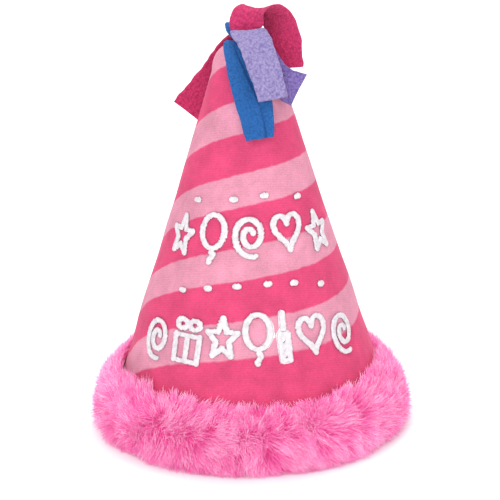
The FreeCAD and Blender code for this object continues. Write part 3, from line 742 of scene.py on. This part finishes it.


# underfur: the roll itself, lumpy, in the root colour, the darkest of the five, which is partly painted shade
underfur_rows = 60
under_columns = 300
share = np.linspace(0, 1, underfur_rows)
radius, height, normal_r, normal_z = on_roll(share)
back_r = np.minimum(cone_radius(height[::-1]) + 1.2 * mm, radius[::-1] - 0.6 * mm)
loop_r = np.concatenate([radius, back_r])
loop_z = np.concatenate([height, height[::-1] + 0.4 * mm])
under_angles = np.linspace(-math.pi, math.pi, under_columns, endpoint=False)
angle_grid, radius_grid, height_grid = swept(under_angles, loop_r, loop_z)
lumps = around(angle_grid.ravel(), radius_grid.ravel(), height_grid.ravel())
fluffed = np.repeat(np.arange(len(loop_r)) < underfur_rows, under_columns)
swell = np.where(fluffed, 0.7 * mm * drift(lumps, 0.006, 21) + 0.3 * mm * drift(lumps, 0.002, 22), 0)
lumps += lumps * np.array([1, 1, 0]) / radius_grid.reshape(-1, 1) * swell[:, None]
underfur = make_piece("cuff_underfur", lumps, ring_faces(len(loop_r), under_columns), "hat", fur_shades[0])
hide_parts("fur_pile")

fur_rng = np.random.default_rng(2024)
sectors = 14
tufts_per_sector = 190
fibres_per_tuft = 32
tuft_width = 2.8 * mm
pile_rise = 7.8 * mm
pile_lay = 12.5 * mm
# real fibres are under 0.1 mm thick; fewer and thicker ones stand in for them
fibre_radius = 0.2 * mm
fibre_stations = np.array([0.0, 0.3, 0.58, 0.82, 1.0])
fibre_taper = np.array([1.0, 1.0, 0.85, 0.6, 0.15])


def pile_frame(angle, share):
    """Where a fibre is rooted, the way it stands up, and the way it is combed."""
    radius, height, normal_r, normal_z = on_roll(share)
    base = around(angle, radius, height)
    stand = around(angle, normal_r, normal_z)
    sideways = around(angle + math.pi / 2, 1.0 + 0 * angle, 0.0)
    climb = np.cross(sideways, stand)
    turned = 1.1 * np.sin(angle) + 0.8 * drift(base, 0.045, 31) + 0.5 * drift(base, 0.016, 32)
    lifted = np.interp(share, [0, 0.3, 0.55, 0.8, 1], [-0.9, -0.8, -0.1, 0.7, 1.0])
    lifted = lifted + 0.45 * drift(base, 0.02, 33)
    comb = sideways * turned[:, None] - climb * lifted[:, None]
    comb /= np.linalg.norm(comb, axis=1)[:, None] + 0.35
    # near the top the pile turns up along the velour and hugs it
    hug = np.interp(share, [0.75, 1], [0, 0.85])[:, None]
    uphill = around(angle, -math.sin(cone_half_angle) + 0 * angle, math.cos(cone_half_angle))
    stand = stand * (1 - hug) + uphill * hug
    # it is shorter along its top edge, and pressed down near the middle of the front
    pressed = 0.5 * np.exp(-((angle - 0.26) / 0.5) ** 2) * np.interp(share, [0.6, 1], [0, 1])
    length = np.interp(share, [0, 0.3, 0.65, 1], [0.85, 1, 1, 0.62]) * (1 - pressed)
    return base, stand * length[:, None], comb * length[:, None]


for sector in range(sectors):
    low = -math.pi + 2 * math.pi * sector / sectors
    tuft_angle = low + fur_rng.random(tufts_per_sector) * 2 * math.pi / sectors
    tuft_share = (fur_rng.permutation(tufts_per_sector) + fur_rng.random(tufts_per_sector)) / tufts_per_sector
    tuft_tint = fur_rng.integers(-1, 2, tufts_per_sector)
    tuft_size = 0.8 + 0.35 * fur_rng.random(tufts_per_sector)
    owner = np.repeat(np.arange(tufts_per_sector), fibres_per_tuft)
    count = len(owner)
    tuft_base, tuft_stand, tuft_comb = pile_frame(tuft_angle, tuft_share)
    tuft_tip = tuft_base + (tuft_stand * pile_rise + tuft_comb * pile_lay) * tuft_size[:, None]
    angle = tuft_angle[owner] + fur_rng.normal(size=count) * tuft_width / brim_radius
    share = np.clip(tuft_share[owner] + fur_rng.normal(size=count) * tuft_width / roll_length, 0, 1)
    base, stand, comb = pile_frame(angle, share)
    size = (tuft_size[owner] * (0.82 + 0.3 * fur_rng.random(count)))[:, None]
    frizz = fur_rng.normal(size=(count, 3)) * 1.5 * mm
    heading = stand * pile_rise + comb * pile_lay
    side = np.cross(heading, stand)
    side /= np.linalg.norm(side, axis=1)[:, None] + 1e-9
    other = np.cross(heading, side)
    other /= np.linalg.norm(other, axis=1)[:, None] + 1e-9
    rings = []
    for t, taper in zip(fibre_stations, fibre_taper):
        rise = stand * pile_rise * (1 - (1 - t) ** 1.7)
        line = base + (rise + comb * pile_lay * t ** 1.15) * size + frizz * t
        cling = 0.6 * t ** 1.5
        line += (tuft_tip[owner] - base - heading * tuft_size[owner][:, None]) * cling
        # fibres flatten out just above the table, and none goes into the velour
        low_down = 2 * mm * np.exp((line[:, 2] - 2 * mm) / (4 * mm))
        line[:, 2] = np.where(line[:, 2] < 2 * mm, low_down, line[:, 2])
        away = np.hypot(line[:, 0], line[:, 1])
        line[:, :2] *= (np.maximum(away, cone_radius(line[:, 2]) + 1.3 * mm) / away)[:, None]
        for k in range(3):
            turn = 2 * math.pi * k / 3
            rings.append(line + (side * math.cos(turn) + other * math.sin(turn)) * fibre_radius * taper)
    grid = np.stack(rings, 1)
    pattern = []
    shades = []
    for station in range(len(fibre_stations) - 1):
        for k in range(3):
            a = station * 3 + k
            b = station * 3 + (k + 1) % 3
            pattern.append((a, b, b + 3, a + 3))
            shades.append(station)
    faces = np.array(pattern)[None] + (np.arange(count) * len(rings))[:, None, None]
    fur = make_piece("cuff_fur_%02d" % (sector + 1), grid.reshape(-1, 3), faces.reshape(-1, 4), "hat",
                     fur_shades[0])
    for material in fur_shades[1:]:
        fur.data.materials.append(material)
    # each fibre's faces grow paler from root to tip; the darker roots are partly painted shade
    tint = np.array(shades)[None] + tuft_tint[owner][:, None] + fur_rng.integers(0, 2, (count, 1))
    tint = np.clip(tint, 0, len(fur_shades) - 1)
    fur.data.polygons.foreach_set("material_index", tint.astype(np.int32).ravel())
    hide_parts("fur_pile")

# ------------------------------------------------------------------ streamers
# Six strips of polar fleece, 22 mm wide and cut, not hemmed.  Each is pinched
# narrow where it is bound in the tip, climbs to a fold and then hangs free.
# Each has a name, the station of its fold, how it cups, how deep it is creased,
# and its stations: middle of the strip in millimetres, heading and tilt of its
# width in degrees, and its width as a share of the cut width.
STREAMERS = [
    ("blue_front", 2, 0.1, 1 * mm, [
        (-2, -5.9, 272, 0, 0, 0.32), (-4.5, -8.4, 274.2, 2, 0, 0.5), (-6, -14, 273.6, 4, -6, 0.73),
        (-3.6, -22.5, 266, 8, -12, 0.92), (1.4, -29.5, 252, 8, -16, 1.12),
        (6.6, -36, 235, 8, -17, 1.16), (9.5, -41, 215, 8, -17, 0.88)]),
    ("purple_right", 2, 0.1, 0.0, [
        (-1, -3.5, 272, 0, 0, 0.32), (1.5, -6, 276.6, 6, 2, 0.36), (7.5, -10.4, 276.4, 20, 10, 0.41),
        (14, -15.5, 270.5, 30, 22, 0.5), (18.5, -20, 259.5, 32, 44, 0.73),
        (25.5, -21.5, 249, 25, 64, 0.95), (36, -19.5, 243, 8, 76, 1.09)]),
    ("purple_front", 2, 0.06, 0.0, [
        (-1, -1.15, 272, 0, 0, 0.32), (-0.5, -3.2, 278.3, 0, 0, 0.68), (2, -9, 281, 4, 2, 1.05),
        (6.5, -17.5, 277, 14, 6, 1.07), (10.5, -26, 267, 20, 9, 1.05),
        (14.5, -32.5, 255.5, 23, 12, 1.0), (18.5, -39.5, 241.5, 26, 14, 1.0)]),
    ("pink_arch", 3, -0.12, 0.0, [
        (-1, 1.15, 272, 0, 0, 0.32), (-0.5, 1.6, 279, 0, 0, 0.77), (1.5, 3, 286, -6, 5, 1.05),
        (7.5, 6.5, 292.5, -16, 8, 1.09), (17.5, 11, 291.5, -24, 6, 1.12),
        (24.5, 15, 280.5, -20, 2, 1.12), (28, 17.5, 266, -14, 0, 1.08), (29.5, 19, 250, -12, 0, 1.0)]),
    ("blue_back", 2, 0.1, 0.0, [
        (-2, 3.5, 272, 0, 0, 0.32), (-3.5, 6.5, 277.5, 0, 0, 0.64), (-4, 12.5, 281.5, 0, 0, 0.82),
        (-2.5, 20.5, 281, 4, 0, 0.86), (1.5, 27.5, 274, 8, 0, 0.91),
        (5.5, 32, 262, 10, 0, 0.95), (8.5, 35, 247, 10, 0, 0.95), (10, 37, 231, 10, 0, 0.95)]),
    ("pink_left", 2, 0.1, 0.0, [
        (-2, 5.9, 272, 0, 0, 0.32), (-3.2, 9.7, 274.3, 8, -4, 0.45), (-6, 15.5, 272, 30, -16, 0.68),
        (-11.5, 21.5, 262.5, 26, -32, 0.84), (-19.5, 25, 248, 14, -42, 0.93),
        (-29.5, 26.5, 233.5, 4, -47, 0.98), (-41.5, 26, 219, 0, -49, 1.0)]),
]
strip_width = 22 * mm
fleece_wall = 1.8 * mm
tuck_depth = 10 * mm
tuck_rows = 8
rows_per_station = 40


def fleece_of(name, code, nub_gap_shade_code, sheen_tint):
    """Polar fleece: brushed knit whose surface pills into soft nubs, matt and dry."""
    material, tree, shader = new_material("Polyester_fleece_" + name, code, 0.95, 0.2, sheen_tint, 0.5)
    shader.inputs["Specular IOR Level"].default_value = 0.15
    place = add(tree, "ShaderNodeTexCoord").outputs["Object"]
    # nubs of about 1.5 mm and finer fuzz on top; the hollows between the nubs are painted darker, a painted
    # shade
    nubs = add(tree, "ShaderNodeTexVoronoi", {"Scale": 1 / (1.5 * mm), "feature": "SMOOTH_F1"}, Vector=place)
    fuzz = add(tree, "ShaderNodeTexNoise", {"Scale": 1 / (0.6 * mm), "Detail": 3.0, "Roughness": 0.55},
               Vector=place)
    shade = add(tree, "ShaderNodeMath", {"operation": "MULTIPLY_ADD", 1: 0.9}, in0=nubs.outputs["Distance"],
                in2=fuzz.outputs["Fac"])
    # painted shade: the colour turns towards the darker colour in the hollows between the nubs
    painted_hollow_shade = add(tree, "ShaderNodeMapRange", {1: 0.6, 2: 1.2, 3: 0.0, 4: 0.75}, in0=shade.outputs[0])
    mix = add(tree, "ShaderNodeMix", {"data_type": "RGBA", 6: linear(code), 7: linear(nub_gap_shade_code)},
              in0=painted_hollow_shade.outputs[0])
    tree.links.new(mix.outputs[2], shader.inputs["Base Color"])
    bump = add(tree, "ShaderNodeBump", {"Strength": 1.0, "Distance": 1.1 * mm, "invert": True},
               Height=shade.outputs[0])
    tree.links.new(bump.outputs[0], shader.inputs["Normal"])
    return material


fleece = {
    "blue": fleece_of("blue", "#2D69B0", "#1F4F8C", "#8FB8EC"),
    "purple": fleece_of("purple", "#A79CC6", "#64549A", "#C8BCE4"),
    "pink": fleece_of("pink", "#DA3F74", "#9C2450", "#FF9DBD"),
    # painted shade: a darker copy of the purple fleece, for the strip that hangs in shade
    "shaded_purple": fleece_of("shaded_purple", "#8E7ABA", "#4A3A80", "#B9A6E0"),
}


def smooth_stations(stations, place):
    """Stations blended into one easy curve: a value for every place along it."""
    stations = np.array(stations, float)
    last = len(stations) - 1
    i = np.minimum(place.astype(int), last - 1)
    t = (place - i)[:, None]
    before = stations[np.maximum(i - 1, 0)]
    start = stations[i]
    end = stations[i + 1]
    after = stations[np.minimum(i + 2, last)]
    return 0.5 * (2 * start + (end - before) * t + (2 * before - 5 * start + 4 * end - after) * t ** 2
                  + (3 * start - before - 3 * end + after) * t ** 3)


def nubs_of(x, y, size, seed):
    """Distance to the nearest of many scattered points, in units of their spacing."""
    jitter = np.random.default_rng(seed).random((64, 64, 2))
    nearest = np.full(x.shape, 9.0)
    for step_x in (-1, 0, 1):
        for step_y in (-1, 0, 1):
            cell_x = np.floor(x / size) + step_x
            cell_y = np.floor(y / size) + step_y
            point = jitter[(cell_x % 64).astype(int), (cell_y % 64).astype(int)]
            gap = np.hypot(x / size - cell_x - point[..., 0], y / size - cell_y - point[..., 1])
            nearest = np.minimum(nearest, gap)
    return nearest


for number, (name, fold, cup, crease, stations) in enumerate(STREAMERS):
    last = len(stations) - 1
    place = np.linspace(0, last, rows_per_station * last + 1)
    values = smooth_stations(stations, place)
    centre = values[:, :3] * mm
    ahead = np.gradient(centre, axis=0)
    ahead[0] = (0, 0, 1)
    ahead /= np.linalg.norm(ahead, axis=1)[:, None]
    heading = np.radians(values[:, 3])
    tilt = np.radians(values[:, 4])
    across = np.stack([np.cos(heading) * np.cos(tilt), np.sin(heading) * np.cos(tilt), np.sin(tilt)], 1)
    normal = np.cross(ahead, across)
    normal /= np.linalg.norm(normal, axis=1)[:, None]
    across = np.cross(normal, ahead)
    along = np.concatenate([[0], np.cumsum(np.linalg.norm(np.diff(centre, axis=0), axis=1))])
    width = values[:, 5] * strip_width
    tail = np.clip((place - fold) / 1.5, 0, 1)
    spans = 34
    share = np.linspace(-1, 1, spans)
    # the tucked root runs a little way down inside the tip
    below = np.linspace(-tuck_depth, -tuck_depth / tuck_rows, tuck_rows)
    centre = np.concatenate([centre[:1] + below[:, None] * np.array([0, 0, 1]), centre])
    along = np.concatenate([below, along])
    across, normal, width = (np.concatenate([np.repeat(rows[:1], tuck_rows, 0), rows])
                             for rows in (across, normal, width))
    tail = np.concatenate([np.zeros(tuck_rows), tail])
    place_share = np.concatenate([np.zeros(tuck_rows), place / last])
    u, v = np.meshgrid(share, along)
    x = u * (width / 2)[:, None]
    cut_line = np.stack([v.ravel() * 0 + number, v.ravel(), 0 * v.ravel()], 1)
    snip = 0.35 * mm * drift(cut_line, 0.006, 60 + number)
    x = x + snip.reshape(v.shape) * u
    curl = cup * (width / 2)[:, None] * (u ** 2 - 0.35) * tail[:, None]
    from_crease = u + 0.35 - 0.8 * place_share[:, None]
    creased = 2.2 * np.exp(-(from_crease / 0.08) ** 2) + 3.6 * np.maximum(from_crease, 0)
    curl -= crease * creased * tail[:, None]
    ripple = 0.5 * mm * np.sin(v / mm / 7.0 + number) * u * tail[:, None]
    sheets = []
    for face in (1, -1):
        rounded = np.sqrt(np.maximum(0, 1 - np.abs(u) ** 14))
        nub = nubs_of(x + 0.05, v + 0.05 + 0.3 * (face + 1), 2.2 * mm, 70 + number)
        bulge = 0.55 * mm * (0.45 - nub) * rounded
        lift = face * (fleece_wall / 2 * rounded + bulge) + curl + ripple
        sheets.append(centre[:, None] + across[:, None] * x[..., None] + normal[:, None] * lift[..., None])
    rows = len(centre)
    grid = np.concatenate([sheets[0], sheets[1][:, ::-1]], 1)
    sides = grid.shape[1]
    faces = ring_faces(rows, sides)[:(rows - 1) * sides]
    caps = []
    for row in (0, rows - 1):
        for k in range(spans - 1):
            first = row * sides
            quad = (first + k, first + k + 1, first + sides - 2 - k, first + sides - 1 - k)
            caps.append(quad if row == 0 else quad[::-1])
    faces = np.concatenate([faces, np.array(caps)])
    # the right-hand purple strip wears the darker copy of the purple, a painted shade
    strip = make_piece("streamer_" + name, grid.reshape(-1, 3), faces[:, ::-1], None,
                       fleece["shaded_purple" if name == "purple_right" else name.split("_")[0]])
    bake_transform(strip)
    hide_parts("streamer_" + name + "_root", "streamer_" + name + "_end")

# a few turns of cord bind the six roots just inside the opening
wear("root_binding", stitch_thread)

# ------------------------------------------------------------------ table, light and camera
# The hat stands on a plain pale table in soft light, seen from a little above.
# The table is matt card with a faint tooth.
table_top, tree, shader = new_material("Paper_backdrop_matt", "#FAFAFA", 0.9)
place = add(tree, "ShaderNodeTexCoord").outputs["Object"]
tooth = add(tree, "ShaderNodeTexNoise", {"Scale": 1 / (1.5 * mm), "Detail": 2.0, "Roughness": 0.55},
            Vector=place)
bump = add(tree, "ShaderNodeBump", {"Strength": 0.05, "Distance": 0.1 * mm}, Height=tooth.outputs["Fac"])
tree.links.new(bump.outputs[0], shader.inputs["Normal"])
floor_points = [(-6, -6, 0), (6, -6, 0), (6, 6, 0), (-6, 6, 0)]
floor = make_piece("table", floor_points, [(0, 1, 2, 3)], None, table_top)

world = bpy.data.worlds.new("studio")
bpy.context.scene.world = world
world.use_nodes = True
world.node_tree.nodes["Background"].inputs["Color"].default_value = linear("#FFFFFF")
world.node_tree.nodes["Background"].inputs["Strength"].default_value = 0.76
bpy.context.scene.view_settings.view_transform = "Standard"


def soft_light(name, place, aim, size, power):
    """A square softbox aimed at a point."""
    data = bpy.data.lights.new(name, "AREA")
    data.size = size
    data.energy = power
    lamp = bpy.data.objects.new(name, data)
    bpy.context.scene.collection.objects.link(lamp)
    lamp.location = place
    lamp.rotation_euler = (Vector(aim) - Vector(place)).to_track_quat("-Z", "Y").to_euler()


soft_light("key", (-0.6, -1.1, 1.2), (0, 0, 0.13), 0.8, 12)
soft_light("front", (0.15, -1.5, 0.3), (0, 0, 0.08), 0.9, 5)
soft_light("fill", (1.1, -0.8, 0.7), (0, 0, 0.13), 1.0, 4)
soft_light("top", (0.2, 0.6, 1.3), (0, 0, 0.13), 1.0, 6)
soft_light("backdrop", (0, 2.2, 1.8), (0, 1.6, 0), 2.4, 40)

camera_distance = 1.3
camera_down = math.radians(18)
camera_roll = math.radians(-1.12)
camera_target = Vector((1.22 * mm, 0, 124.1 * mm))
back = Vector((0, -math.cos(camera_down), math.sin(camera_down)))
right = Vector((1, 0, 0))
up = Vector((0, math.sin(camera_down), math.cos(camera_down)))
rolled_right = right * math.cos(camera_roll) + up * math.sin(camera_roll)
rolled_up = up * math.cos(camera_roll) - right * math.sin(camera_roll)
lens = bpy.data.cameras.new("camera")
lens.sensor_width = 36
lens.lens = 133.28
camera = bpy.data.objects.new("camera", lens)
bpy.context.scene.collection.objects.link(camera)
axes = Matrix((rolled_right, rolled_up, back)).transposed()
camera.matrix_world = Matrix.Translation(camera_target + back * camera_distance) @ axes.to_4x4()
bpy.context.scene.camera = camera
